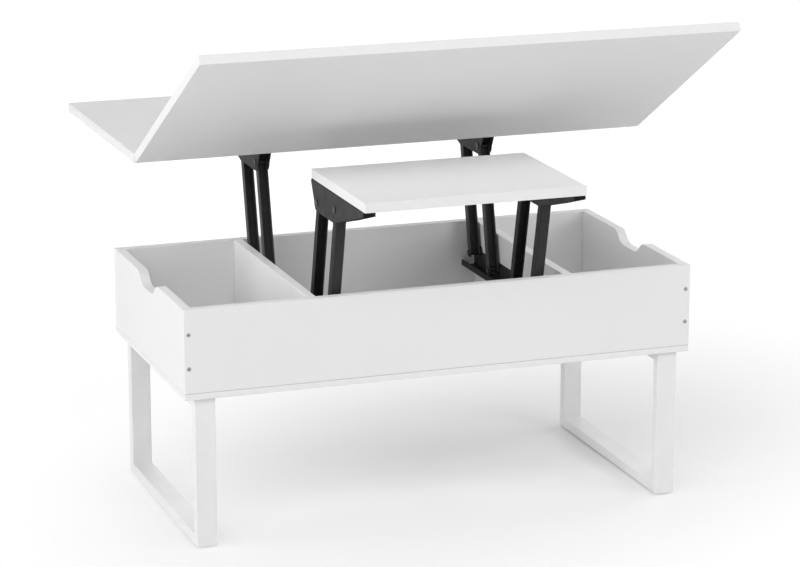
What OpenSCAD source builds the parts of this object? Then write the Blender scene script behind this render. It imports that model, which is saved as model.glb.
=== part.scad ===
// Convertible coffee table: a case on two tube frames, a large folding top on a rear lift
// and a small top on a front lift. Shown with both lifts open and the leaf part way over.
// Millimetres. X runs along the case, Y from the front to the back, Z up.

/* [Case] */
// Length of the case
case_w = 1000; // [800:10:1200]
// Depth of the case
case_d = 500; // [460:10:600]
// Thickness of the case boards
board_t = 18; // [15:1:22]
// Thickness of the bottom board
bottom_t = 12; // [9:1:18]
// Height of the case walls above the bottom board
wall_h = 158; // [150:1:180]
// Clear width of the middle compartment
middle_w = 488; // [470:1:520]
// Bevel along the edges of the boards
edge_bevel = 0.9; // [0.2:0.1:1.5]
// Width of a hand notch at the rim
notch_w = 153; // [110:1:200]
// Width of the straight floor of a hand notch
notch_floor_w = 48; // [30:1:90]
// Depth of a hand notch
notch_depth = 24; // [16:1:36]

/* [Legs] */
// Height of a leg frame
leg_h = 285; // [200:1:400]
// Width of the leg tube along the case
tube_w = 40; // [30:1:60]
// Depth of the leg tube
tube_d = 20; // [16:1:30]
// Wall of the leg tube
tube_wall = 1.5; // [1:0.1:3]
// Outside corner radius of the leg tube
tube_r = 2.5; // [2:0.1:4]
// Setback of a leg frame from the end of the case
leg_end_in = 20; // [5:1:60]
// Setback of a leg frame from the front and back of the case
leg_side_in = 9; // [0:1:40]
// Thickness of a floor glide
glide_t = 3; // [2:0.5:6]
// Diameter of a floor glide
glide_dia = 18; // [12:1:20]

/* [Tops] */
// Overhang of the closed large top past the case
overhang = 10; // [4:1:30]
// Thickness of the tops
top_t = 18; // [15:1:22]
// Bevel along the edges of the tops
top_bevel = 0.8; // [0.2:0.1:1.5]
// Angle of the folding leaf above level
leaf_angle = 30.4; // [0:0.1:120]
// Seam between the two halves of the large top
leaf_seam = 1; // [0.6:0.1:2]
// Depth of the small top
small_d = 306; // [300:2:320]

/* [Lifts] */
// Arm length between pivots
arm_len = 246; // [230:1:260]
// Lean of the open arms past upright
open_lean = 13; // [6:0.5:20]
// Level distance between the two pivots of a pair
pivot_gap = 103; // [80:1:120]
// Height of the outer pivot above the inner one
pivot_rise = 10; // [9:0.5:12]
// Width of an arm
arm_w = 20; // [16:0.5:20]
// Depth of an arm
arm_d = 17; // [14:0.5:17]
// Sheet thickness of arms and top brackets
sheet_t = 1.5; // [1.2:0.1:1.6]
// Sheet thickness of the rails
rail_t = 2; // [1.5:0.1:2.2]
// Outside radius of the bends in arms, brackets and rails
bend_r = 2.5; // [1.8:0.1:4]
// Outside width of a top bracket
bracket_w = 24; // [24:0.5:26]
// Inner pivot of a top bracket below the board
pivot_drop = 40; // [36:0.5:44]
// Radius of the bracket ear round the inner pivot
ear_r = 16; // [12:0.5:18]
// Reach of the bracket past its inner pivot
bracket_heel = 34; // [24:1:36]
// Reach of the bracket past its outer pivot
bracket_toe = 159; // [100:1:159]
// Outer pivot of the large lift in front of the back of the case
large_pivot_back = 54; // [52:1:60]
// Inner pivot of the large lift below the rim
large_pivot_down = 68; // [60:0.5:74]
// Outer pivot of the small lift behind the front of the case
small_pivot_front = 55; // [52:1:60]
// Small top behind its inner pivot
small_tail = 36; // [36:1:44]
// Gap between the closed or unfolded boards and what they rest on
rest_gap = 0.3; // [0.2:0.1:1]

/* [Fixings] */
// Radius of the lift pivot pins
pin_r = 4; // [3:0.5:5]
// Radius of the pin heads
pin_head_r = 7; // [6:0.5:8]
// Radial clearance of pins in their holes
run_gap = 0.05; // [0.03:0.01:0.1]
// Head radius of the case screws
case_head_r = 4.4; // [4:0.1:5]
// Shank radius of the case screws
case_shank_r = 3; // [2:0.1:3.5]
// Height of the lower case screws above the bottom board
screw_low = 47; // [30:1:60]
// Height of the upper case screws above the bottom board
screw_high = 111; // [90:1:120]
// Length of one leaf hinge
hinge_len = 60; // [40:1:80]
// Radius of the hinge barrel
barrel_r = 3; // [2.5:0.1:4]
// Radius of the hinge pin
hinge_pin_r = 1.5; // [1:0.1:1.8]
// Width of a hinge plate from the axis
plate_w = 22; // [18:1:30]
// Thickness of a hinge plate
plate_t = 1.5; // [1:0.1:2]

/* [Hidden] */

$fn = 48;
eps = 0.01;
cut = 1;

// Heights of the case
case_z = glide_t + leg_h;
floor_z = case_z + bottom_t;
rim_z = floor_z + wall_h;
divider_x = middle_w / 2;

// Positions of the lift parts across the case
side_gap = 0.3;
rail_out_x = divider_x;
rail_face_x = rail_out_x - rail_t;
large_x = rail_face_x - side_gap - bracket_w / 2;
large_rail_in_x = large_x - bracket_w / 2 - side_gap;
small_rail_out_x = large_rail_in_x - rail_t;
small_x = small_rail_out_x - rail_t - side_gap - bracket_w / 2;
small_rail_in_x = small_x - bracket_w / 2 - side_gap;

// Sizes of the tops, the small one a little narrower than its pair of brackets
top_w = case_w + 2 * overhang;
half_d = case_d + 2 * overhang;
bracket_proud = 1;
small_w = 2 * small_x + bracket_w - 2 * bracket_proud;

// Places of the lift pivots in the Y Z plane
lean_y = arm_len * sin(open_lean);
lean_z = arm_len * cos(open_lean);
large_base = [case_d - large_pivot_back - pivot_gap, rim_z - large_pivot_down];
large_open = large_base + [lean_y, lean_z];
under_z = large_open[1] + pivot_drop;
closed_pivot_z = rim_z + rest_gap - pivot_drop;
large_tilt = asin((closed_pivot_z - large_base[1]) / arm_len);
large_shift = arm_len * (sin(open_lean) + cos(large_tilt));
small_z = under_z - rest_gap;
small_under_z = small_z - top_t;
small_base = [small_pivot_front + pivot_gap, small_under_z - pivot_drop - lean_z];
small_open = small_base + [-lean_y, lean_z];

// Places of the tops
flat_front = large_shift - overhang;
top_z = under_z + top_t;
axis_lift = leaf_seam / 2;
hinge_y = flat_front - axis_lift;
hinge_z = top_z + axis_lift;
small_back = small_open[0] + small_tail;
small_front = small_back - small_d;

// The origin is at the middle of the footprint of the whole table
leaf_reach = half_d + axis_lift;
leaf_deep = top_t + axis_lift;
function leaf_corner(out, down) = hinge_y - out * cos(leaf_angle) - down * sin(leaf_angle);
leaf_tip = min(leaf_corner(leaf_reach, leaf_deep - top_bevel),
    leaf_corner(leaf_reach - top_bevel, leaf_deep));
front_end = min(leaf_tip, small_front);
back_end = flat_front + half_d;
middle_y = (front_end + back_end) / 2;

module placed() {
    translate([0, -middle_y, 0])
        children();
}

// Mirror of a right-hand piece for the left side
module on_side(side) {
    mirror([side < 0 ? 1 : 0, 0, 0])
        children();
}

// A cylinder along X from x0 to x1 at a point of the Y Z plane
module rod_x(x0, x1, p, r) {
    translate([x0, p[0], p[1]])
        rotate([0, 90, 0])
            cylinder(h = x1 - x0, r = r);
}

module rod_y(y0, y1, x, z, r, r2 = undef) {
    translate([x, y0, z])
        rotate([-90, 0, 0])
            cylinder(h = y1 - y0, r1 = r, r2 = is_undef(r2) ? r : r2);
}

// Outline in the Y Z plane drawn as a sheet from x0 to x1
module sheet_x(x0, x1) {
    translate([x0, 0, 0])
        rotate([90, 0, 90])
            linear_extrude(height = x1 - x0)
                children();
}

module bevel_rect(w, h, c) {
    polygon([[c, 0], [w - c, 0], [w, c], [w, h - c], [w - c, h], [c, h], [0, h - c], [0, c]]);
}

// A board with a fine bevel along all its edges
module board(size, c) {
    intersection() {
        linear_extrude(height = size[2])
            bevel_rect(size[0], size[1], c);
        rotate([90, 0, 0])
            translate([0, 0, -size[1]])
                linear_extrude(height = size[1])
                    bevel_rect(size[0], size[2], c);
        rotate([90, 0, 90])
            linear_extrude(height = size[0])
                bevel_rect(size[1], size[2], c);
    }
}

module round_rect(w, h, r) {
    translate([-w / 2 + r, -h / 2])
        square([w - 2 * r, h]);
    translate([-w / 2, -h / 2 + r])
        square([w, h - 2 * r]);
    for (x = [-1, 1], y = [-1, 1])
        translate([x * (w / 2 - r), y * (h / 2 - r)])
            circle(r = r);
}

// Section of a bent sheet channel with its open side up
module channel(w, h, t) {
    intersection() {
        difference() {
            translate([0, h])
                round_rect(w, 2 * h, bend_r);
            translate([-w / 2 + t, t])
                square([w - 2 * t, h]);
        }
        translate([-w / 2, 0])
            square([w, h]);
    }
}

// A section in the X Z plane drawn along Y from y0 to y1
module profile_y(y0, y1) {
    translate([0, y1, 0])
        rotate([90, 0, 0])
            linear_extrude(height = y1 - y0)
                children();
}

// Case boards

screw_rows = [floor_z + screw_low, floor_z + screw_high];
side_mid_x = case_w / 2 - board_t / 2;
divider_mid_x = divider_x + board_t / 2;
case_screw_len = 50;
case_head_t = 2.6;
case_head_sink = 0.4;
cross_size = [5, 3.2, 1.1];
dowel_r = 4;
dowel_len = 30;
dowel_in_face = 11;
bottom_screw_len = 36;
bottom_shank_r = 2;
bottom_head_r = 4;
bottom_head_t = 2.2;
bottom_head_sink = 0.3;

// Places of the screws that hold the bottom board
bottom_screw_at = concat(
    [for (x = [-1, 1], y = [1, 3]) [x * side_mid_x, case_d * y / 4]],
    [for (x = [-1, 1], y = [1, 3]) [x * divider_mid_x, case_d * y / 4]],
    [for (x = [-1, 0, 1], y = [board_t / 2, case_d - board_t / 2]) [x * case_w / 3, y]]);

// The four leg screws of one frame, from its middle line
leg_screw_at = [for (x = [-1, 1], y = [0.2, 0.8]) [x * tube_w / 5, y]];
leg_mid_x = case_w / 2 - leg_end_in - tube_w / 2;
leg_front = leg_side_in;
leg_back = case_d - leg_side_in;
leg_screw_r = 2.5;
leg_screw_head_r = 4.5;
leg_screw_head_t = 3.5;
leg_screw_bite = 9;
tool_hole_r = 5.5;

module at_leg_screws() {
    for (side = [-1, 1], p = leg_screw_at)
        translate([side * leg_mid_x + p[0], leg_front + (leg_back - leg_front) * p[1], 0])
            children();
}

module case_screw_cut(y0, dir, x, z) {
    head_y = dir > 0 ? y0 - cut : y0 - case_head_t;
    rod_y(head_y, head_y + case_head_t + cut, x, z, case_head_r + run_gap);
    shank_y = dir > 0 ? y0 : y0 - case_screw_len - cut;
    rod_y(shank_y, shank_y + case_screw_len + cut, x, z, case_shank_r + run_gap);
}

module case_screw_cuts() {
    for (x = [-side_mid_x, side_mid_x], z = screw_rows) {
        case_screw_cut(0, 1, x, z);
        case_screw_cut(case_d, -1, x, z);
    }
}

// Dowels between the dividers and the front and back panels
module dowels(grow) {
    for (x = [-divider_mid_x, divider_mid_x], z = screw_rows, y = [0, 1]) {
        start = y == 0 ? board_t - dowel_in_face : case_d - board_t + dowel_in_face - dowel_len;
        rod_y(start - grow, start + dowel_len + grow, x, z, dowel_r + grow);
    }
}

module bottom_screw_cuts() {
    for (p = bottom_screw_at)
        translate([p[0], p[1], case_z]) {
            translate([0, 0, -cut])
                cylinder(h = bottom_screw_len + cut + run_gap, r = bottom_shank_r + run_gap);
            translate([0, 0, -cut])
                cylinder(h = bottom_head_t + cut, r = bottom_head_r + run_gap);
        }
}

module bottom_panel() {
    color("whitesmoke") placed() difference() {
        translate([-case_w / 2, 0, case_z])
            board([case_w, case_d, bottom_t], edge_bevel);
        bottom_screw_cuts();
        at_leg_screws()
            translate([0, 0, case_z - cut])
                cylinder(h = leg_screw_bite + cut + run_gap, r = leg_screw_r + run_gap);
    }
}

module long_panel(y) {
    color("white") placed() difference() {
        translate([-case_w / 2, y, floor_z])
            board([case_w, board_t, wall_h], edge_bevel);
        case_screw_cuts();
        dowels(run_gap);
        bottom_screw_cuts();
    }
}

module front_panel() {
    long_panel(0);
}

module back_panel() {
    long_panel(case_d - board_t);
}

// Hand notch in the rim, its sides made of two equal arcs each, which run out just above the rim
notch_above = 0.5;
notch_drop = notch_depth + notch_above;
notch_half = notch_w / 2;
notch_flat = notch_floor_w / 2;
notch_run = notch_half - notch_flat;
notch_r = (notch_run * notch_run + notch_drop * notch_drop) / (4 * notch_drop);
notch_mid = (notch_half + notch_flat) / 2;

module notch_shoulder() {
    translate([notch_half, -notch_r])
        circle(r = notch_r);
    difference() {
        polygon([[notch_flat, -notch_drop - cut], [notch_half + cut, -notch_drop - cut],
            [notch_half + cut, -notch_r], [notch_half, -notch_r],
            [notch_mid, -notch_drop / 2], [notch_flat, -notch_drop]]);
        translate([notch_flat, notch_r - notch_drop])
            circle(r = notch_r);
    }
}

module notch_outline() {
    difference() {
        translate([-notch_half, -notch_drop])
            square([notch_w, notch_drop + cut]);
        for (side = [0, 1])
            mirror([side, 0])
                notch_shoulder();
    }
    translate([-notch_half, 0])
        square([notch_w, cut]);
}

module side_panel(side) {
    color("white") placed() on_side(side) difference() {
        translate([case_w / 2 - board_t, board_t, floor_z])
            board([board_t, case_d - 2 * board_t, wall_h], edge_bevel);
        translate([0, case_d / 2, rim_z + notch_above])
            sheet_x(case_w / 2 - board_t - cut, case_w / 2 + cut)
                notch_outline();
        case_screw_cuts();
        bottom_screw_cuts();
    }
}

module left_side_panel() {
    side_panel(-1);
}

module right_side_panel() {
    side_panel(1);
}

rail_screw_at = [60, case_d / 2 + 5, case_d - 95, case_d - 38];
rail_screw_down = 80;
rail_screw_z = rim_z - rail_screw_down;
rail_screw_r = 1.8;
rail_screw_len = 15;
rail_screw_head_r = 4;
rail_screw_head_t = 2;

module divider(side) {
    color("white") placed() on_side(side) difference() {
        translate([divider_x, board_t, floor_z])
            board([board_t, case_d - 2 * board_t, wall_h], edge_bevel);
        dowels(run_gap);
        bottom_screw_cuts();
        for (y = rail_screw_at)
            rod_x(divider_x - cut, divider_x + rail_screw_len - rail_t + run_gap,
                [y, rail_screw_z], rail_screw_r + run_gap);
    }
}

module left_divider() {
    divider(-1);
}

module right_divider() {
    divider(1);
}

module case_screws() {
    color("silver") placed() {
        for (x = [-side_mid_x, side_mid_x], z = screw_rows, back = [0, 1])
            translate([0, back * case_d, 0])
                mirror([0, back, 0])
                    difference() {
                        union() {
                            rod_y(case_head_sink, case_head_t, x, z, case_head_r);
                            rod_y(case_head_t - eps, case_screw_len, x, z, case_shank_r);
                        }
                        for (turn = [0, 90])
                            translate([x, 0, z])
                                rotate([0, turn, 0])
                                    cube(cross_size, center = true);
                    }
    }
}

module panel_dowels() {
    color("burlywood") placed()
        dowels(0);
}

module bottom_screws() {
    color("silver") placed() {
        for (p = bottom_screw_at)
            translate([p[0], p[1], case_z]) {
                translate([0, 0, bottom_head_sink])
                    cylinder(h = bottom_head_t - bottom_head_sink, r = bottom_head_r);
                translate([0, 0, bottom_head_sink])
                    cylinder(h = bottom_screw_len - bottom_head_sink, r = bottom_shank_r);
            }
    }
}

// Leg frames

leg_span = leg_back - leg_front;

// One side of a frame, lying along Y with its ends mitred
module mitred_tube(span) {
    intersection() {
        translate([0, span, tube_d / 2])
            rotate([90, 0, 0])
                linear_extrude(height = span)
                    difference() {
                        round_rect(tube_w, tube_d, tube_r);
                        round_rect(tube_w - 2 * tube_wall, tube_d - 2 * tube_wall,
                            tube_r - tube_wall);
                    }
        sheet_x(-tube_w, tube_w)
            polygon([[0, 0], [span, 0], [span - tube_d, tube_d], [tube_d, tube_d]]);
    }
}

module leg_part(side) {
    color("white") placed()
        translate([side * leg_mid_x, leg_front, glide_t])
            children();
}

module floor_bar(side) {
    leg_part(side)
        mitred_tube(leg_span);
}

// A tube along Y is stood up by swapping Y and Z
module front_post(side) {
    leg_part(side)
        mirror([0, 1, -1])
            mitred_tube(leg_h);
}

module back_post(side) {
    leg_part(side)
        translate([0, leg_span, 0])
            mirror([0, 1, 0])
                mirror([0, 1, -1])
                    mitred_tube(leg_h);
}

module top_bar(side) {
    difference() {
        leg_part(side)
            translate([0, 0, leg_h])
                mirror([0, 0, 1])
                    mitred_tube(leg_span);
        placed()
            at_leg_screws() {
                translate([0, 0, case_z - tube_wall - cut])
                    cylinder(h = tube_wall + 2 * cut, r = leg_screw_r + run_gap);
                translate([0, 0, case_z - tube_d - cut])
                    cylinder(h = tube_wall + 2 * cut, r = tool_hole_r);
            }
    }
}

module left_leg_top_bar() {
    top_bar(-1);
}

module left_leg_front_post() {
    front_post(-1);
}

module left_leg_back_post() {
    back_post(-1);
}

module left_leg_floor_bar() {
    floor_bar(-1);
}

module right_leg_top_bar() {
    top_bar(1);
}

module right_leg_front_post() {
    front_post(1);
}

module right_leg_back_post() {
    back_post(1);
}

module right_leg_floor_bar() {
    floor_bar(1);
}

glide_in = 45;
glide_bevel = 1;

module leg_glides() {
    color("dimgray") placed()
        for (side = [-1, 1], y = [leg_front + glide_in, leg_back - glide_in])
            translate([side * leg_mid_x, y, 0]) {
                cylinder(h = glide_bevel, r1 = glide_dia / 2 - glide_bevel, r2 = glide_dia / 2);
                translate([0, 0, glide_bevel])
                    cylinder(h = glide_t - glide_bevel, r = glide_dia / 2);
            }
}

module leg_screws() {
    color("silver") placed()
        at_leg_screws() {
            translate([0, 0, case_z - tube_wall - leg_screw_head_t])
                cylinder(h = leg_screw_head_t, r = leg_screw_head_r);
            translate([0, 0, case_z - tube_wall - eps])
                cylinder(h = tube_wall + leg_screw_bite + eps, r = leg_screw_r);
        }
}

// Lift rails, fixed to the dividers

rail_end_gap = 4;
large_rail_below = 23;
large_rail_down = 56;
large_rail_z = large_base[1] - large_rail_below;
large_rail_top = rim_z - large_rail_down;
large_rail_lip = 13;
rail_ear_r = 12;
small_rail_below = 27;
small_rail_z = small_base[1] - small_rail_below;
small_rail_h = 38;
small_rail_past = [25, 28];
small_rail_front = small_pivot_front - small_rail_past[0];
small_rail_back = small_base[0] + small_rail_past[1];
rivet_end_in = 12;
rivet_at = [small_rail_front + rivet_end_in, small_rail_back - rivet_end_in];
rivet_up = 10;
rivet_z = large_rail_z + rivet_up;
rivet_r = 2.5;
rivet_head_r = 4.5;
rivet_head_t = 1.2;

// Pivots of a pair of arms as points of the Y Z plane, the inner one first
function pivot_pair(inner, dir) = [inner, inner + [dir * pivot_gap, pivot_rise]];

large_base_pts = pivot_pair(large_base, 1);
small_base_pts = pivot_pair(small_base, -1);
large_top_pts = pivot_pair(large_open, 1);
small_top_pts = pivot_pair(small_open, -1);

// The outer arm of each pair leans on a stop pin when its lift stands open
stop_r = 4;
stop_up = 12;
stop_ear_r = 9;
function stop_place(pivot, dir) = pivot
    + stop_up * [dir * sin(open_lean), cos(open_lean)]
    + (arm_d / 2 + stop_r + rest_gap) * [dir * cos(open_lean), -sin(open_lean)];
large_stop = stop_place(large_base_pts[1], 1);
small_stop = stop_place(small_base_pts[1], -1);

module large_rail(side) {
    rail_y = board_t + rail_end_gap;
    in_x = large_rail_in_x - rail_t;
    rail_w = rail_out_x - in_x;
    rail_h = large_rail_top - large_rail_z;
    color("dimgray") placed() on_side(side) difference() {
        union() {
            difference() {
                translate([in_x + rail_w / 2, 0, large_rail_z])
                    profile_y(rail_y, case_d - rail_y)
                        channel(rail_w, rail_h, rail_t);
                translate([in_x - cut, 0, large_rail_z + large_rail_lip])
                    cube([rail_w / 2, case_d, rail_h]);
            }
            for (p = large_base_pts)
                rod_x(rail_face_x, rail_out_x, p, rail_ear_r);
            rod_x(rail_face_x, rail_out_x, large_stop, stop_ear_r);
        }
        for (p = concat(large_base_pts, [large_stop]))
            rod_x(rail_face_x - cut, rail_out_x + cut, p, pin_r + run_gap);
        for (y = rail_screw_at)
            rod_x(rail_face_x - cut, rail_out_x + cut, [y, rail_screw_z], rail_screw_r + run_gap);
        for (y = rivet_at)
            rod_x(large_rail_in_x - rail_t - cut, large_rail_in_x + cut, [y, rivet_z],
                rivet_r + run_gap);
    }
}

module left_large_rail() {
    large_rail(-1);
}

module right_large_rail() {
    large_rail(1);
}

module small_rail(side) {
    out_x = small_rail_out_x;
    in_x = small_rail_in_x - rail_t;
    color("dimgray") placed() on_side(side) difference() {
        union() {
            translate([(in_x + out_x) / 2, 0, small_rail_z])
                profile_y(small_rail_front, small_rail_back)
                    channel(out_x - in_x, small_rail_h, rail_t);
            for (x = [in_x, out_x - rail_t]) {
                for (p = small_base_pts)
                    rod_x(x, x + rail_t, p, rail_ear_r);
                rod_x(x, x + rail_t, small_stop, stop_ear_r);
            }
        }
        for (p = concat(small_base_pts, [small_stop]))
            rod_x(in_x - cut, out_x + cut, p, pin_r + run_gap);
        for (y = rivet_at)
            rod_x(out_x - rail_t - cut, out_x + cut, [y, rivet_z], rivet_r + run_gap);
    }
}

module left_small_rail() {
    small_rail(-1);
}

module right_small_rail() {
    small_rail(1);
}

module large_rail_screws() {
    color("silver") placed()
        for (side = [-1, 1], y = rail_screw_at)
            on_side(side) {
                rod_x(rail_face_x - rail_screw_head_t, rail_face_x, [y, rail_screw_z],
                    rail_screw_head_r);
                rod_x(rail_face_x - eps, rail_face_x + rail_screw_len, [y, rail_screw_z],
                    rail_screw_r);
            }
}

module rail_rivets() {
    inner = small_rail_out_x - rail_t;
    outer = large_rail_in_x;
    color("gray") placed()
        for (side = [-1, 1], y = rivet_at)
            on_side(side) {
                rod_x(inner - eps, outer + eps, [y, rivet_z], rivet_r);
                rod_x(inner - rivet_head_t, inner, [y, rivet_z], rivet_head_r);
                rod_x(outer, outer + rivet_head_t, [y, rivet_z], rivet_head_r);
            }
}

// Pins and spacers

head_t = 1.6;
arm_side = arm_w / 2;
spacer_gap = 0.3;

module large_base_pins() {
    color("gray") placed()
        for (side = [-1, 1], p = large_base_pts)
            on_side(side) {
                tip = large_x - arm_side - spacer_gap;
                rod_x(tip - eps, rail_out_x, p, pin_r);
                rod_x(tip - head_t, tip, p, pin_head_r);
            }
}

module small_base_pins() {
    color("gray") placed()
        for (side = [-1, 1], p = small_base_pts)
            on_side(side) {
                tip = small_rail_in_x - rail_t;
                rod_x(tip - eps, small_rail_out_x, p, pin_r);
                rod_x(tip - head_t, tip, p, pin_head_r);
            }
}

module spacer(x0, x1, p) {
    difference() {
        rod_x(x0, x1, p, pin_head_r);
        rod_x(x0 - cut, x1 + cut, p, pin_r + run_gap);
    }
}

module large_pivot_spacers() {
    color("gray") placed()
        for (side = [-1, 1], p = large_base_pts)
            on_side(side)
                spacer(large_x + arm_side + spacer_gap, rail_face_x, p);
}

module small_pivot_spacers() {
    color("gray") placed()
        for (side = [-1, 1], p = small_base_pts)
            on_side(side) {
                spacer(small_rail_in_x, small_x - arm_side - spacer_gap, p);
                spacer(small_x + arm_side + spacer_gap, small_rail_out_x - rail_t, p);
            }
}

module large_stop_pins() {
    color("gray") placed()
        for (side = [-1, 1])
            on_side(side)
                rod_x(large_x, rail_out_x, large_stop, stop_r);
}

module small_stop_pins() {
    color("gray") placed()
        for (side = [-1, 1])
            on_side(side)
                rod_x(small_rail_in_x - rail_t, small_rail_out_x, small_stop, stop_r);
}

// Arms: pressed channels with round ends and bent corners
// An arm from its base pivot, open to the back unless open_front is set
module arm(x, base, dir, open_front) {
    r = arm_d / 2;
    translate([x, base[0], base[1]])
        rotate([-dir * open_lean, 0, 0])
            difference() {
                intersection() {
                    translate([0, 0, -r])
                        linear_extrude(height = arm_len + arm_d)
                            mirror([0, open_front ? 1 : 0])
                                translate([0, -r])
                                    channel(arm_w, arm_d, sheet_t);
                    sheet_x(-arm_side, arm_side) {
                        translate([-r, 0])
                            square([arm_d, arm_len]);
                        for (z = [0, arm_len])
                            translate([0, z])
                                circle(r = r);
                    }
                }
                for (z = [0, arm_len])
                    rod_x(-arm_w, arm_w, [0, z], pin_r + run_gap);
            }
}

module left_large_front_arm() {
    color("dimgray") placed()
        arm(-large_x, large_base_pts[0], 1, true);
}

module right_large_front_arm() {
    color("dimgray") placed()
        arm(large_x, large_base_pts[0], 1, true);
}

module left_large_rear_arm() {
    color("dimgray") placed()
        arm(-large_x, large_base_pts[1], 1, true);
}

module right_large_rear_arm() {
    color("dimgray") placed()
        arm(large_x, large_base_pts[1], 1, true);
}

module left_small_front_arm() {
    color("dimgray") placed()
        arm(-small_x, small_base_pts[1], -1, false);
}

module right_small_front_arm() {
    color("dimgray") placed()
        arm(small_x, small_base_pts[1], -1, false);
}

module left_small_rear_arm() {
    color("dimgray") placed()
        arm(-small_x, small_base_pts[0], -1, true);
}

module right_small_rear_arm() {
    color("dimgray") placed()
        arm(small_x, small_base_pts[0], -1, true);
}

// Top brackets: inverted channels with deep walls round the pivots

heel_edge = 6;
toe_edge = 9;
flat_edge_in = 5;
toe_knee = [pivot_gap + 75, -34];
bracket_screw_at = [-22, pivot_gap / 2, pivot_gap + 60, pivot_gap + bracket_toe - 14];
bracket_screw_r = 2;
bracket_screw_len = 14;
bracket_screw_head_r = 4;
bracket_screw_head_t = 2;

// Wall outline from the inner pivot, with the board's underside at zero
module bracket_outline() {
    polygon([[-bracket_heel, 0], [-bracket_heel, -heel_edge], [-ear_r, -pivot_drop],
        [0, -pivot_drop - ear_r], [pivot_gap - flat_edge_in, -pivot_drop - ear_r],
        toe_knee, [pivot_gap + bracket_toe, -toe_edge],
        [pivot_gap + bracket_toe, 0]]);
    translate([0, -pivot_drop])
        circle(r = ear_r);
}

module bracket(x, pivots, under, dir) {
    half = bracket_w / 2;
    color("dimgray") placed() difference() {
        translate([x, pivots[0][0], under])
            scale([1, dir, 1])
                difference() {
                    intersection() {
                        sheet_x(-half, half)
                            bracket_outline();
                        profile_y(-bracket_heel, pivot_gap + bracket_toe)
                            mirror([0, 1])
                                channel(bracket_w, pivot_drop + ear_r + cut, sheet_t);
                    }
                    for (y = bracket_screw_at)
                        translate([0, y, -sheet_t - cut])
                            cylinder(h = sheet_t + 2 * cut, r = bracket_screw_r + run_gap);
                }
        for (p = pivots)
            rod_x(x - bracket_w, x + bracket_w, p, pin_r + run_gap);
    }
}

module left_large_bracket() {
    bracket(-large_x, large_top_pts, under_z, 1);
}

module right_large_bracket() {
    bracket(large_x, large_top_pts, under_z, 1);
}

module left_small_bracket() {
    bracket(-small_x, small_top_pts, small_under_z, -1);
}

module right_small_bracket() {
    bracket(small_x, small_top_pts, small_under_z, -1);
}

module top_pins(x, pivots) {
    half = bracket_w / 2;
    color("gray") placed()
        for (side = [-1, 1], p = pivots)
            translate([side * x, 0, 0]) {
                rod_x(-half - eps, half + eps, p, pin_r);
                rod_x(-half - head_t, -half, p, pin_head_r);
                rod_x(half, half + head_t, p, pin_head_r);
            }
}

module large_top_pins() {
    top_pins(large_x, large_top_pts);
}

module small_top_pins() {
    top_pins(small_x, small_top_pts);
}

module at_bracket_screws(x, pivots, dir) {
    for (side = [-1, 1], y = bracket_screw_at)
        translate([side * x, pivots[0][0] + dir * y, 0])
            children();
}

module bracket_screw(under) {
    translate([0, 0, under - sheet_t - bracket_screw_head_t])
        cylinder(h = bracket_screw_head_t, r = bracket_screw_head_r);
    translate([0, 0, under - sheet_t - eps])
        cylinder(h = bracket_screw_len + eps, r = bracket_screw_r);
}

module bracket_screw_hole(under) {
    translate([0, 0, under - cut])
        cylinder(h = bracket_screw_len - sheet_t + cut + run_gap, r = bracket_screw_r + run_gap);
}

module large_bracket_screws() {
    color("silver") placed()
        at_bracket_screws(large_x, large_top_pts, 1)
            bracket_screw(under_z);
}

module small_bracket_screws() {
    color("silver") placed()
        at_bracket_screws(small_x, small_top_pts, -1)
            bracket_screw(small_under_z);
}

// Tops

hinge_at = [-top_w / 3, 0, top_w / 3];
pocket_gap = 0.4;
hinge_screw_in = 7;
hinge_screw_y = plate_w - hinge_screw_in;
hinge_screw_x = hinge_len / 3;
hinge_screw_r = 1.5;
hinge_screw_head_r = 2.8;
hinge_screw_len = 13;
hinge_seat_t = 0.3;
hinge_head_t = 1;
knuckles = 5;
knuckle_len = hinge_len / knuckles;
knuckle_gap = 0.15;

// Everything of a hinge is drawn with the hinge axis at the origin, plates towards +Y
module hinge_pocket() {
    rod_x(-hinge_len / 2 - pocket_gap, hinge_len / 2 + pocket_gap, [0, 0], barrel_r + pocket_gap);
    translate([-hinge_len / 2 - run_gap, 0, -axis_lift - plate_t])
        cube([hinge_len + 2 * run_gap, plate_w + run_gap, plate_t + cut]);
    for (x = [-1, 1])
        translate([x * hinge_screw_x, hinge_screw_y, -axis_lift - hinge_screw_len - run_gap])
            cylinder(h = hinge_screw_len + cut, r = hinge_screw_r + run_gap);
}

module hinge_plate(first) {
    difference() {
        union() {
            translate([-hinge_len / 2, 0, -axis_lift - plate_t])
                cube([hinge_len, plate_w, plate_t]);
            rod_x(-hinge_len / 2, hinge_len / 2, [0, 0], barrel_r);
        }
        for (k = [first:2:knuckles - 1])
            translate([-hinge_len / 2 + k * knuckle_len - knuckle_gap, -barrel_r - cut, -barrel_r - cut])
                cube([knuckle_len + 2 * knuckle_gap, 2 * barrel_r + cut + pocket_gap,
                    2 * barrel_r + 2 * cut]);
        rod_x(-hinge_len, hinge_len, [0, 0], hinge_pin_r + run_gap);
        for (x = [-1, 1])
            translate([x * hinge_screw_x, hinge_screw_y, -axis_lift - plate_t - cut]) {
                cylinder(h = plate_t + 2 * cut, r = hinge_screw_r + run_gap);
                translate([0, 0, cut + hinge_seat_t])
                    cylinder(h = plate_t, r = hinge_screw_head_r + run_gap);
            }
    }
}

module hinge_screw() {
    head_z = -axis_lift - plate_t + hinge_seat_t;
    translate([0, 0, head_z])
        cylinder(h = hinge_head_t, r = hinge_screw_head_r);
    translate([0, 0, -axis_lift - hinge_screw_len])
        cylinder(h = head_z + hinge_head_t / 2 + axis_lift + hinge_screw_len, r = hinge_screw_r);
}

module at_hinges() {
    for (x = hinge_at)
        translate([x, hinge_y, hinge_z])
            children();
}

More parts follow.
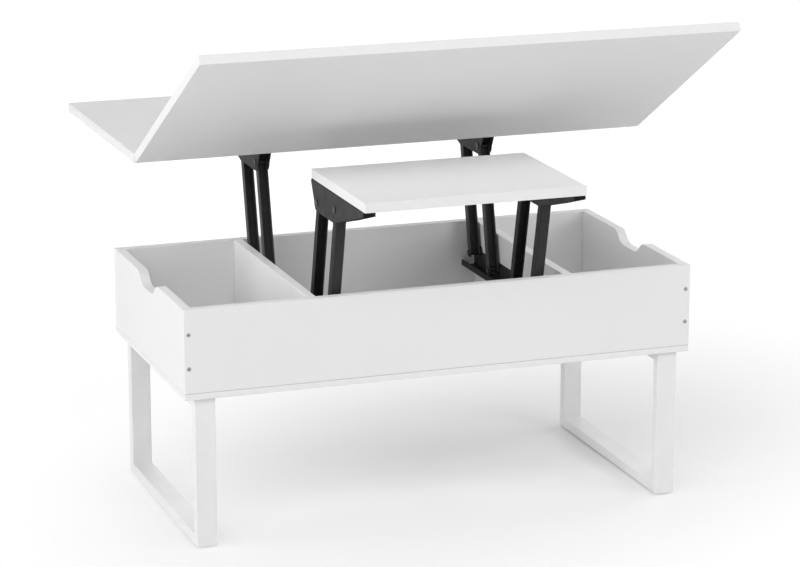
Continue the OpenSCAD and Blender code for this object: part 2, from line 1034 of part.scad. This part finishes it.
// The leaf side of a hinge, turned to the leaf's angle
module at_leaf() {
    translate([0, hinge_y, hinge_z])
        rotate([-leaf_angle, 0, 0])
            mirror([0, 1, 0])
                children();
}

module flat_top() {
    color("white") placed() difference() {
        translate([-top_w / 2, flat_front, under_z])
            board([top_w, half_d, top_t], top_bevel);
        at_hinges()
            hinge_pocket();
        at_bracket_screws(large_x, large_top_pts, 1)
            bracket_screw_hole(under_z);
    }
}

module hinge_flat_plates() {
    color("silver") placed()
        at_hinges()
            hinge_plate(1);
}

module hinge_flat_screws() {
    color("silver") placed()
        at_hinges()
            for (x = [-1, 1])
                translate([x * hinge_screw_x, hinge_screw_y, 0])
                    hinge_screw();
}

module leaf_top() {
    color("white") placed() at_leaf() difference() {
        translate([-top_w / 2, axis_lift, -axis_lift - top_t])
            board([top_w, half_d, top_t], top_bevel);
        for (x = hinge_at)
            translate([x, 0, 0])
                hinge_pocket();
    }
}

module hinge_leaf_plates() {
    color("silver") placed() at_leaf()
        for (x = hinge_at)
            translate([x, 0, 0])
                hinge_plate(0);
}

module hinge_leaf_screws() {
    color("silver") placed() at_leaf()
        for (x = hinge_at, side = [-1, 1])
            translate([x + side * hinge_screw_x, hinge_screw_y, 0])
                hinge_screw();
}

module hinge_pins() {
    color("gray") placed()
        at_hinges()
            rod_x(-hinge_len / 2, hinge_len / 2, [0, 0], hinge_pin_r);
}

module small_top() {
    color("white") placed() difference() {
        translate([-small_w / 2, small_front, small_under_z])
            board([small_w, small_d, top_t], top_bevel);
        at_bracket_screws(small_x, small_top_pts, -1)
            bracket_screw_hole(small_under_z);
    }
}

bottom_panel();
front_panel();
back_panel();
left_side_panel();
right_side_panel();
left_divider();
right_divider();
left_leg_top_bar();
left_leg_front_post();
left_leg_back_post();
left_leg_floor_bar();
right_leg_top_bar();
right_leg_front_post();
right_leg_back_post();
right_leg_floor_bar();
leg_glides();
leg_screws();
case_screws();
bottom_screws();
panel_dowels();
left_large_rail();
right_large_rail();
left_small_rail();
right_small_rail();
large_rail_screws();
rail_rivets();
large_base_pins();
small_base_pins();
large_pivot_spacers();
small_pivot_spacers();
large_stop_pins();
small_stop_pins();
left_large_front_arm();
right_large_front_arm();
left_large_rear_arm();
right_large_rear_arm();
left_large_bracket();
right_large_bracket();
large_top_pins();
large_bracket_screws();
flat_top();
hinge_flat_plates();
hinge_flat_screws();
leaf_top();
hinge_leaf_plates();
hinge_leaf_screws();
hinge_pins();
left_small_front_arm();
right_small_front_arm();
left_small_rear_arm();
right_small_rear_arm();
left_small_bracket();
right_small_bracket();
small_top_pins();
small_bracket_screws();
small_top();
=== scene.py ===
import math

import bmesh
import bpy
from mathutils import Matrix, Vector


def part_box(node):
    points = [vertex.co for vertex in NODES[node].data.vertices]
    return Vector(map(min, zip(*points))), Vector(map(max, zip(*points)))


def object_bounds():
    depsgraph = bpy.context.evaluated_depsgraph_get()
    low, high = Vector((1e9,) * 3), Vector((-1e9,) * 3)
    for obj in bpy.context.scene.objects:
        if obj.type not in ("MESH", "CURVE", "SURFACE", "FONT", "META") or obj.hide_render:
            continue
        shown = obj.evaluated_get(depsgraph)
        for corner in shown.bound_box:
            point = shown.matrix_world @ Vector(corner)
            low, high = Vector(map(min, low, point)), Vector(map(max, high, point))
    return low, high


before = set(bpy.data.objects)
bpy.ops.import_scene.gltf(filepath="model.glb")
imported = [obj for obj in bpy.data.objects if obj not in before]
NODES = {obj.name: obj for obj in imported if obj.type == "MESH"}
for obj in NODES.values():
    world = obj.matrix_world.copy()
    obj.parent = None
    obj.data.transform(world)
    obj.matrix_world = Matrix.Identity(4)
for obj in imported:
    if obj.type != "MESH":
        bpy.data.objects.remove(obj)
cad_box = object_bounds()

WHITE = (1.0, 1.0, 1.0, 1.0)

# The camera, in metres and degrees: it looks down on the object through a long lens, unshifted
CAMERA_PLACE = (-1.8975, -5.4147, 1.8796)
CAMERA_YAW = 19.567
CAMERA_PITCH = 14.589
CAMERA_CLIP = (0.1, 60.0)
SENSOR_MM = 36.0
LENS_MM = 136.70

# Light: the level that falls on the object from all round, and the white behind it
WORLD_LEVEL = 0.3
BACKDROP_LEVEL = 1.0

# The lamps: each one's place and size in metres and its power in watts. All look at the target
LIGHT_TARGET = Vector((0.0, 0.0, 0.5))
LIGHTS = {
    "left_side": ((-4.2, -0.6, 1.4), (2.6, 2.4), 73.0),
    "left_front": ((-2.6, -3.0, 3.2), (2.4, 2.0), 43.0),
    "middle_front": ((0.2, -3.4, 3.6), (3.0, 2.0), 32.0),
    "right_front": ((3.4, -3.2, 2.2), (2.6, 2.4), 58.0),
    "right_side": ((4.2, 0.4, 1.8), (2.6, 2.4), 50.0),
    "back": ((0.4, 4.2, 1.6), (3.6, 2.2), 24.0),
}

# The floor, in metres: its shadow stays in an oval patch near the object and fades to white.
# The white part keeps a share of the lamps' light, which keeps thin edges in front of it clean
FLOOR_HALF = 14.0
FLOOR_GAP = 0.0004
FLOOR_TONE = 0.9
FLOOR_CLOUD_DROP = 0.01
FLOOR_FAR_TONE = 0.2
FLOOR_ROUGHNESS = 0.7
FLOOR_SHINE = 0.2

# The oval: its middle, its turn in radians and its half axes. The white's own light is a little
# weaker at the rim, and reaches the backdrop's level at this many times the oval's size
FLOOR_MIDDLE = (0.182, -0.0577, 0.0)
FLOOR_TURN = 0.610
FLOOR_REACH = (1.407, 0.893, 1.0)
FLOOR_RIM_LEVEL = 0.86
FLOOR_RIM_END = 2.5

# Noises: the scale per metre, the detail and, where it isn't the usual one, the roughness
BOARD_CLOUD = (3.2, 3.0, 0.55)
BOARD_SPECKS = (900.0, 1.0)
BOARD_PEARL = (420.0, 2.0, 0.6)
BOARD_RUBBING = (26.0, 4.0, 0.65)
BOARD_WAVES = (14.0, 1.0)
COAT_CLOUD = (8.0, 4.0, 0.6)
COAT_SCUFFS = (160.0, 5.0, 0.7)
COAT_DUST = (1300.0, 1.0)
COAT_RUBBING = (40.0, 3.0, 0.6)
STEEL_LINES = (900.0, 3.0, 0.7)
STEEL_CLOUD = (70.0, 3.0, 0.6)
RUBBER_GRIT = (1500.0, 3.0, 0.7)
RUBBER_CLOUD = (90.0, 3.0)
BEECH_GRAIN = (260.0, 5.0, 0.65)
FLOOR_CLOUD = (1.5, 2.0)
FLOOR_GRAIN = (300.0, 2.0)

# Bumps: the depth in metres and the strength
BOARD_PEARL_BUMP = (0.00008, 0.5)
BOARD_WAVES_BUMP = (0.0008, 0.25)
STEEL_BUMP = (0.00003, 0.5)
RUBBER_BUMP = (0.00008, 0.4)
BEECH_BUMP = (0.00008, 0.4)
FLOOR_BUMP = (0.0002, 0.2)

# The middle band of a noise's values, which is spread over its whole effect
NOISE_LOW = 0.3
NOISE_HIGH = 0.7

# Melamine: the band in which a surface turns from edge to face, as the cosine of its angle to one
FACE_BAND = (0.55, 0.85)

# Melamine: its warmth, how far its patches and specks lie below its tone, its roughness, how
# much rougher its faces are than its edges, the share of the pearl grain on the edges, and shine
BOARD_WARMTH = 0.002
BOARD_CLOUD_DROP = 0.012
BOARD_SPECK_BAND = (0.62, 0.74)
BOARD_SPECK_DROP = 0.03
BOARD_ROUGHNESS = (0.5, 0.6)
BOARD_FACE_ROUGHER = 0.04
BOARD_EDGE_PEARL = 0.25
BOARD_SHINE = 0.3

# Painted shade in the groove between the walls and the bottom board: half its height, its darkest
# tone, and the share of it that shows on the ends, which the lamps light more brightly
JOINT_HALF = 0.0009
JOINT_SHADE_TONE = 0.36
JOINT_END_SHADE_SHARE = 0.3

# The painted groove shade shows on upright surfaces only. The bands are of the normal's upward
# part, and of its part along Y, over which the ends turn to the front and the back
JOINT_UPRIGHT_BAND = (0.75, 0.9)
JOINT_FRONT_BAND = (0.4, 0.9)

# Powder coat: the darker patches, the dust and scuffs of the worn tone, and the roughness
COAT_CLOUD_SHARE = 0.94
COAT_DUST_BAND = (0.6, 0.75)
COAT_DUST_SHARE = 0.5
COAT_SCUFF_BAND = (0.66, 0.8)
COAT_SCUFF_SHARE = 0.35
COAT_SCUFF_STRETCH = (1.0, 1.0, 0.25)
COAT_SMOOTHER = 0.04
COAT_ROUGHER = 0.06
COAT_BUMP_STRENGTH = 0.35

# Plated steel: the darker patches and lines, and the roughness
STEEL_CLOUD_SHARE = 0.9
STEEL_LINE_SHARE = 0.72
STEEL_LINE_BAND = (0.35, 0.7)
STEEL_LINE_DEPTH = 0.5
STEEL_SMOOTHER = 0.07
STEEL_ROUGHER = 0.09

# The painted shade in the cross recess of a case screw: how dark it is, and how far in it is dark
# all over
SCREW_RECESS_SHADE_TONE = 0.02
SCREW_RECESS_EDGE = 0.0005

# Rubber and beech: the tones or colours that they lie between, and the roughness
RUBBER_TONES = (0.03, 0.055)
RUBBER_CLOUD_BAND = (0.35, 0.7)
RUBBER_ROUGHNESS = (0.7, 0.85)
BEECH_DARK = (0.62, 0.44, 0.27, 1.0)
BEECH_LIGHT = (0.78, 0.6, 0.4, 1.0)
BEECH_STRETCH = (1.0, 0.12, 1.0)
BEECH_ROUGHNESS = (0.5, 0.65)

# The ways that the faces of a board look
UP = (0.0, 0.0, 1.0)
FRONT = (0.0, 1.0, 0.0)
SIDE = (1.0, 0.0, 0.0)

# The boards: the pieces, the way their faces look, and the tones of their faces and edges. All
# are one white melamine: the tones differ from board to board as painted light and shade, lighter
# on boards that the lamps leave too dark and darker on those that they light too much. The leaf's
# way isn't given, because leaf_face works it out
BOARDS = {
    "melamine_bottom": (["bottom_panel"], UP, 0.86, 0.84),
    "melamine_front": (["front_panel"], FRONT, 0.838, 0.86),
    "melamine_back": (["back_panel"], FRONT, 0.88, 0.86),
    "melamine_end": (["left_side_panel", "right_side_panel"], SIDE, 0.855, 0.9),
    "melamine_divider": (["left_divider", "right_divider"], SIDE, 0.885, 0.9),
    "melamine_top": (["flat_top", "small_top"], UP, 0.885, 0.85),
    "melamine_leaf": (["leaf_top"], None, 0.86, 0.86),
}

# The looks that carry painted shade in their groove
GROOVE_SHADED = ("melamine_bottom", "melamine_front", "melamine_back", "melamine_end")

# The steel pieces, in groups with one look
LEG_TUBES = [
    f"{side}_leg_{piece}"
    for side in ("left", "right")
    for piece in ("top_bar", "front_post", "back_post", "floor_bar")
]
LIFT_STEEL = [
    f"{side}_{piece}"
    for side in ("left", "right")
    for piece in (
        "large_rail", "small_rail", "large_bracket", "small_bracket",
        "small_front_arm", "small_rear_arm",
    )
]
LARGE_ARMS = [
    f"{side}_{piece}"
    for side in ("left", "right")
    for piece in ("large_front_arm", "large_rear_arm")
]
PINS = [
    "large_base_pins", "small_base_pins", "large_top_pins", "small_top_pins",
    "large_stop_pins", "small_stop_pins", "large_pivot_spacers", "small_pivot_spacers",
    "rail_rivets", "large_rail_screws",
]
SCREWS = ["leg_screws", "bottom_screws", "large_bracket_screws", "small_bracket_screws"]
HINGES = [
    "hinge_flat_plates", "hinge_leaf_plates", "hinge_flat_screws", "hinge_leaf_screws",
    "hinge_pins",
]

# Powder coats: the pieces, the tone, the roughness, the scale per metre and the depth in metres
# of the orange peel, the tone where it is worn, and the shine
COATS = {
    "leg_coat": (LEG_TUBES, 0.86, 0.42, 700.0, 0.0003, 0.8, 0.45),
    "lift_coat": (LIFT_STEEL, 0.039, 0.54, 900.0, 0.0003, 0.065, 0.09),
    # The large arms have the same black coat as the lift steel, painted lighter in tone and worn
    # tone: painted light on their channel faces, which the lamps leave dark
    "arm_coat_painted_light": (LARGE_ARMS, 0.078, 0.54, 900.0, 0.0003, 0.13, 0.09),
    "pin_coat": (PINS, 0.022, 0.44, 1100.0, 0.0001, 0.04, 0.3),
}

# Plated steel: the pieces, the tone, the warmth, the roughness, and how far the noise of the
# lines is scaled along each axis, which is least in the direction that they run in
PLATINGS = {
    "zinc": (SCREWS, 0.55, 0.0, 0.34, (1.0, 1.0, 0.3)),
    "case_screw_zinc": (["case_screws"], 0.52, 0.0, 0.37, (1.0, 0.3, 1.0)),
    "nickel": (HINGES, 0.42, 0.01, 0.5, (0.06, 1.0, 1.0)),
}

# The looks with painted shade, dark and no metal, in their cross recesses
RECESS_SHADED = ("case_screw_zinc",)

# The sockets that a Mix node uses for colours: two inputs and an output
MIX_FIRST = 6
MIX_SECOND = 7
MIX_RESULT = 2


class Nodes:
    """A small helper that adds and links shader nodes of one material."""

    def __init__(self, name):
        self.material = bpy.data.materials.new(name)
        self.material.use_nodes = True
        self.tree = self.material.node_tree
        self.shader = self.tree.nodes["Principled BSDF"]

    def add(self, kind, **inputs):
        """A new node. In a socket's name an underscore stands for a space."""
        node = self.tree.nodes.new(kind)
        for key, value in inputs.items():
            self.feed(value, node.inputs[key.replace("_", " ")])
        return node

    def feed(self, value, socket):
        """Links another node's output to a socket, or sets the socket to a constant."""
        if isinstance(value, bpy.types.NodeSocket):
            self.tree.links.new(value, socket)
        else:
            socket.default_value = value

    def math(self, operation, a, b=0.0):
        node = self.tree.nodes.new("ShaderNodeMath")
        node.operation = operation
        self.feed(a, node.inputs[0])
        self.feed(b, node.inputs[1])
        return node.outputs[0]

    def coords(self):
        return self.tree.nodes.new("ShaderNodeTexCoord").outputs["Object"]

    def normal(self):
        return self.tree.nodes.new("ShaderNodeTexCoord").outputs["Normal"]

    def split(self, vector):
        """The outputs X, Y and Z of a vector."""
        node = self.tree.nodes.new("ShaderNodeSeparateXYZ")
        self.feed(vector, node.inputs[0])
        return node.outputs

    def scaled(self, vector, scale):
        return self.add("ShaderNodeMapping", Vector=vector, Scale=scale).outputs[0]

    def noise(self, vector, scale, detail=2.0, roughness=0.5):
        return self.add(
            "ShaderNodeTexNoise", Vector=vector, Scale=scale, Detail=detail, Roughness=roughness
        ).outputs["Fac"]

    def ramp(self, value, low, high, out_low=0.0, out_high=1.0):
        """A smooth step from out_low at low to out_high at high."""
        node = self.tree.nodes.new("ShaderNodeMapRange")
        node.interpolation_type = "SMOOTHSTEP"
        self.feed(value, node.inputs["Value"])
        limits = {"From Min": low, "From Max": high, "To Min": out_low, "To Max": out_high}
        for name, number in limits.items():
            node.inputs[name].default_value = number
        return node.outputs["Result"]

    def spread(self, noise, out_low=0.0, out_high=1.0):
        """A noise whose middle band is spread from out_low to out_high."""
        return self.ramp(noise, NOISE_LOW, NOISE_HIGH, out_low, out_high)

    def mix(self, factor, a, b):
        node = self.tree.nodes.new("ShaderNodeMix")
        node.data_type = "RGBA"
        self.feed(factor, node.inputs[0])
        self.feed(a, node.inputs[MIX_FIRST])
        self.feed(b, node.inputs[MIX_SECOND])
        return node.outputs[MIX_RESULT]

    def bump(self, height, distance, strength=1.0, normal=None):
        node = self.add("ShaderNodeBump", Height=height, Distance=distance, Strength=strength)
        if normal is not None:
            self.feed(normal, node.inputs["Normal"])
        return node.outputs[0]

    def finish(self, color, roughness, normal, **others):
        """Feeds the Principled shader. In a socket's name an underscore stands for a space."""
        self.feed(color, self.shader.inputs["Base Color"])
        self.feed(roughness, self.shader.inputs["Roughness"])
        self.feed(normal, self.shader.inputs["Normal"])
        for key, value in others.items():
            self.feed(value, self.shader.inputs[key.replace("_", " ")])
        return self.material


def grey(value, warm=0.0):
    """An almost neutral colour; warm lifts red and lowers blue."""
    return (value + warm, value, value - warm, 1.0)


def painted_joint_shade(n, place, height, color):
    """Paints shade into the narrow groove where the walls stand on the bottom board, less of it
    on the brightly lit ends.
    """
    off = n.math("ABSOLUTE", n.math("SUBTRACT", n.split(place)["Z"], height))
    near = n.ramp(off, 0.0, JOINT_HALF, 1.0, 0.0)
    looks = n.split(n.normal())
    upright = n.ramp(n.math("ABSOLUTE", looks["Z"]), *JOINT_UPRIGHT_BAND, 1.0, 0.0)
    front = n.ramp(n.math("ABSOLUTE", looks["Y"]), *JOINT_FRONT_BAND, JOINT_END_SHADE_SHARE, 1.0)
    # The painted shade: darkest in the middle of the groove, and fainter on the lit ends
    dark = n.math("MULTIPLY", near, n.math("MULTIPLY", upright, front))
    return n.mix(dark, color, grey(JOINT_SHADE_TONE))


def melamine(name, face, face_tone, edge_tone, joint=None):
    """White melamine board: pearl grain on its faces, smoother banding on its edges.
    face is the direction that the board's faces look in, joint the height of its groove."""
    n = Nodes(name)
    place = n.coords()
    across = n.add("ShaderNodeVectorMath", Vector=n.normal())
    across.operation = "DOT_PRODUCT"
    across.inputs[1].default_value = face
    flat = n.ramp(n.math("ABSOLUTE", across.outputs["Value"]), *FACE_BAND)
    cloud = n.spread(n.noise(place, *BOARD_CLOUD))
    specks = n.ramp(n.noise(place, *BOARD_SPECKS), *BOARD_SPECK_BAND)
    dim, bright = grey(face_tone - BOARD_CLOUD_DROP), grey(face_tone, BOARD_WARMTH)
    board = n.mix(specks, n.mix(cloud, dim, bright), grey(face_tone - BOARD_SPECK_DROP))
    color = n.mix(flat, grey(edge_tone, BOARD_WARMTH), board)
    # Painted shade in the groove at the foot of the walls
    if joint is not None:
        color = painted_joint_shade(n, place, joint, color)
    rubbed = n.spread(n.noise(place, *BOARD_RUBBING), *BOARD_ROUGHNESS)
    rough = n.math("ADD", rubbed, n.math("MULTIPLY", flat, BOARD_FACE_ROUGHER))
    share = n.math("ADD", n.math("MULTIPLY", flat, 1.0 - BOARD_EDGE_PEARL), BOARD_EDGE_PEARL)
    pearl = n.math("MULTIPLY", n.noise(place, *BOARD_PEARL), share)
    waves = n.bump(n.noise(place, *BOARD_WAVES), *BOARD_WAVES_BUMP)
    normal = n.bump(pearl, *BOARD_PEARL_BUMP, waves)
    return n.finish(color, rough, normal, Specular_IOR_Level=BOARD_SHINE)


def powder_coat(name, tone, roughness, peel_scale, peel_depth, worn_tone, shine):
    """Powder coated steel with orange peel and slightly rubbed patches."""
    n = Nodes(name)
    place = n.coords()
    cloud = n.spread(n.noise(place, *COAT_CLOUD))
    dust = n.ramp(n.noise(place, *COAT_DUST), *COAT_DUST_BAND, 0.0, COAT_DUST_SHARE)
    marks = n.noise(n.scaled(place, COAT_SCUFF_STRETCH), *COAT_SCUFFS)
    scuffs = n.ramp(marks, *COAT_SCUFF_BAND, 0.0, COAT_SCUFF_SHARE)
    base = n.mix(cloud, grey(tone * COAT_CLOUD_SHARE), grey(tone))
    color = n.mix(scuffs, n.mix(dust, base, grey(worn_tone)), grey(worn_tone))
    low, high = roughness - COAT_SMOOTHER, roughness + COAT_ROUGHER
    rough = n.spread(n.noise(place, *COAT_RUBBING), low, high)
    peel = n.add("ShaderNodeTexVoronoi", Vector=place, Scale=peel_scale)
    peel.feature = "SMOOTH_F1"
    normal = n.bump(peel.outputs["Distance"], peel_depth, COAT_BUMP_STRENGTH)
    return n.finish(color, rough, normal, Specular_IOR_Level=shine)


def head_faces(n, place):
    """1 on the outer faces of the case screws' heads, which look both ways along Y, and 0 down in
    their recesses, where the shade is painted."""
    low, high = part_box("case_screws")
    middle, face = (low.y + high.y) / 2, (high.y - low.y) / 2
    out = n.math("ABSOLUTE", n.math("SUBTRACT", n.split(place)["Y"], middle))
    return n.ramp(out, face - SCREW_RECESS_EDGE, face)


def plated_steel(name, tone, warm, roughness, stretch):
    """Plated steel with fine lines. The case screws have painted shade in their recesses: dark,
    and no metal.
    """
    n = Nodes(name)
    place = n.coords()
    lines = n.noise(n.scaled(place, stretch), *STEEL_LINES)
    cloud = n.spread(n.noise(place, *STEEL_CLOUD))
    streaks = n.ramp(lines, *STEEL_LINE_BAND, 0.0, STEEL_LINE_DEPTH)
    base = n.mix(cloud, grey(tone * STEEL_CLOUD_SHARE, warm), grey(tone, warm))
    color = n.mix(streaks, base, grey(tone * STEEL_LINE_SHARE, warm))
    metal = 1.0
    # Painted shade: the screws' recesses are dark and not metal
    if name in RECESS_SHADED:
        metal = head_faces(n, place)
        color = n.mix(metal, grey(SCREW_RECESS_SHADE_TONE), color)
    rough = n.spread(lines, roughness - STEEL_SMOOTHER, roughness + STEEL_ROUGHER)
    return n.finish(color, rough, n.bump(lines, *STEEL_BUMP), Metallic=metal)


def rubber(name):
    """Dull black rubber with a fine grit."""
    n = Nodes(name)
    place = n.coords()
    grit = n.noise(place, *RUBBER_GRIT)
    cloud = n.ramp(n.noise(place, *RUBBER_CLOUD), *RUBBER_CLOUD_BAND)
    dark, light = RUBBER_TONES
    color = n.mix(cloud, grey(dark), grey(light))
    return n.finish(color, n.spread(grit, *RUBBER_ROUGHNESS), n.bump(grit, *RUBBER_BUMP))


def beech(name):
    """Pale beech whose grain runs along Y, as the dowels do."""
    n = Nodes(name)
    grain = n.noise(n.scaled(n.coords(), BEECH_STRETCH), *BEECH_GRAIN)
    color = n.mix(n.spread(grain), BEECH_DARK, BEECH_LIGHT)
    return n.finish(color, n.spread(grain, *BEECH_ROUGHNESS), n.bump(grain, *BEECH_BUMP))


def dress(names, material):
    """Gives each named CAD node this one material."""
    for name in names:
        mesh = NODES[name].data
        mesh.materials.clear()
        mesh.materials.append(material)


def leaf_face():
    """The direction that the raised leaf's faces look in, from its hinge edge to its far edge."""
    flat_low, flat_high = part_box("flat_top")
    far = max((v.co for v in NODES["leaf_top"].data.vertices), key=lambda p: p.z)
    run = Vector((0.0, far.y - flat_low.y, far.z - flat_high.z)).normalized()
    return (0.0, -run.z, run.y)


def make_materials():
    """Dresses every CAD node."""
    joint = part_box("front_panel")[0].z
    for name, (pieces, face, face_tone, edge_tone) in BOARDS.items():
        groove = joint if name in GROOVE_SHADED else None
        dress(pieces, melamine(name, face or leaf_face(), face_tone, edge_tone, groove))
    for name, (pieces, *looks) in COATS.items():
        dress(pieces, powder_coat(name, *looks))
    for name, (pieces, *looks) in PLATINGS.items():
        dress(pieces, plated_steel(name, *looks))
    dress(["leg_glides"], rubber("glide_rubber"))
    dress(["panel_dowels"], beech("dowel_beech"))


def make_camera():
    """The photograph's viewpoint."""
    data = bpy.data.cameras.new("camera")
    data.sensor_width = SENSOR_MM
    data.lens = LENS_MM
    data.clip_start, data.clip_end = CAMERA_CLIP
    camera = bpy.data.objects.new("camera", data)
    camera.location = CAMERA_PLACE
    camera.rotation_euler = (math.radians(90.0 - CAMERA_PITCH), 0.0, -math.radians(CAMERA_YAW))
    bpy.context.scene.collection.objects.link(camera)
    bpy.context.scene.camera = camera


def seen_directly(tree):
    """1 for what the camera, gloss and glass see, 0 for the light that falls on the object."""
    path = tree.nodes.new("ShaderNodeLightPath")
    value = path.outputs["Is Camera Ray"]
    for other in ("Is Glossy Ray", "Is Transmission Ray"):
        either = tree.nodes.new("ShaderNodeMath")
        either.operation = "MAXIMUM"
        tree.links.new(value, either.inputs[0])
        tree.links.new(path.outputs[other], either.inputs[1])
        value = either.outputs[0]
    return value


def mix_shaders(tree, factor, first, second):
    """The first shader where factor is 0, turning to the second where it is 1."""
    node = tree.nodes.new("ShaderNodeMixShader")
    tree.links.new(factor, node.inputs[0])
    tree.links.new(first, node.inputs[1])
    tree.links.new(second, node.inputs[2])
    return node.outputs[0]


def make_world():
    """A plain white studio: soft light on the object, full white where it is looked at."""
    world = bpy.data.worlds.new("studio")
    world.use_nodes = True
    bpy.context.scene.world = world
    tree = world.node_tree
    ambient = tree.nodes["Background"]
    ambient.inputs["Color"].default_value = WHITE
    ambient.inputs["Strength"].default_value = WORLD_LEVEL
    white = tree.nodes.new("ShaderNodeBackground")
    white.inputs["Color"].default_value = WHITE
    white.inputs["Strength"].default_value = BACKDROP_LEVEL
    mixed = mix_shaders(tree, seen_directly(tree), ambient.outputs[0], white.outputs[0])
    tree.links.new(mixed, tree.nodes["World Output"].inputs["Surface"])


def make_lights():
    """Large soft lamps all round, which the camera doesn't see."""
    for name, (place, size, watts) in LIGHTS.items():
        data = bpy.data.lights.new(name, "AREA")
        data.shape = "RECTANGLE"
        data.size, data.size_y = size
        data.energy = watts
        light = bpy.data.objects.new(name, data)
        light.location = place
        light.visible_camera = False
        aim = LIGHT_TARGET - Vector(place)
        light.rotation_euler = aim.to_track_quat("-Z", "Y").to_euler()
        bpy.context.scene.collection.objects.link(light)


def floor_material():
    """Pale and lit in the middle of the oval patch, and fading to white towards its rim."""
    n = Nodes("floor_white")
    place = n.coords()
    dim, bright = grey(FLOOR_TONE - FLOOR_CLOUD_DROP), grey(FLOOR_TONE)
    tone = n.mix(n.noise(place, *FLOOR_CLOUD), dim, bright)
    grain = n.bump(n.noise(place, *FLOOR_GRAIN), *FLOOR_BUMP)
    n.finish(tone, FLOOR_ROUGHNESS, grain, Specular_IOR_Level=FLOOR_SHINE)
    patch = n.add("ShaderNodeMapping", Vector=place)
    patch.vector_type = "TEXTURE"
    patch.inputs["Location"].default_value = FLOOR_MIDDLE
    patch.inputs["Rotation"].default_value = (0.0, 0.0, FLOOR_TURN)
    patch.inputs["Scale"].default_value = FLOOR_REACH
    away = n.add("ShaderNodeVectorMath", Vector=patch.outputs["Vector"])
    away.operation = "LENGTH"
    reach = away.outputs["Value"]
    level = n.ramp(reach, 1.0, FLOOR_RIM_END, FLOOR_RIM_LEVEL, BACKDROP_LEVEL)
    white = n.add("ShaderNodeEmission", Strength=level)
    lit = n.add("ShaderNodeBsdfDiffuse", Color=grey(FLOOR_FAR_TONE))
    beyond = n.tree.nodes.new("ShaderNodeAddShader")
    n.tree.links.new(white.outputs[0], beyond.inputs[0])
    n.tree.links.new(lit.outputs[0], beyond.inputs[1])
    far = n.math("MULTIPLY", n.ramp(reach, 0.0, 1.0), seen_directly(n.tree))
    mixed = mix_shaders(n.tree, far, n.shader.outputs[0], beyond.outputs[0])
    n.tree.links.new(mixed, n.tree.nodes["Material Output"].inputs["Surface"])
    return n.material


def make_floor():
    """A pale floor that keeps the shadow near the object and turns to plain white further out."""
    mesh = bpy.data.meshes.new("floor")
    built = bmesh.new()
    bmesh.ops.create_grid(built, x_segments=2, y_segments=2, size=FLOOR_HALF)
    built.to_mesh(mesh)
    built.free()
    floor = bpy.data.objects.new("floor", mesh)
    floor.location = (0.0, 0.0, cad_box[0].z - FLOOR_GAP)
    bpy.context.scene.collection.objects.link(floor)
    mesh.materials.append(floor_material())


make_materials()
make_camera()
make_world()
make_lights()
make_floor()
bpy.context.scene.view_settings.view_transform = "Standard"
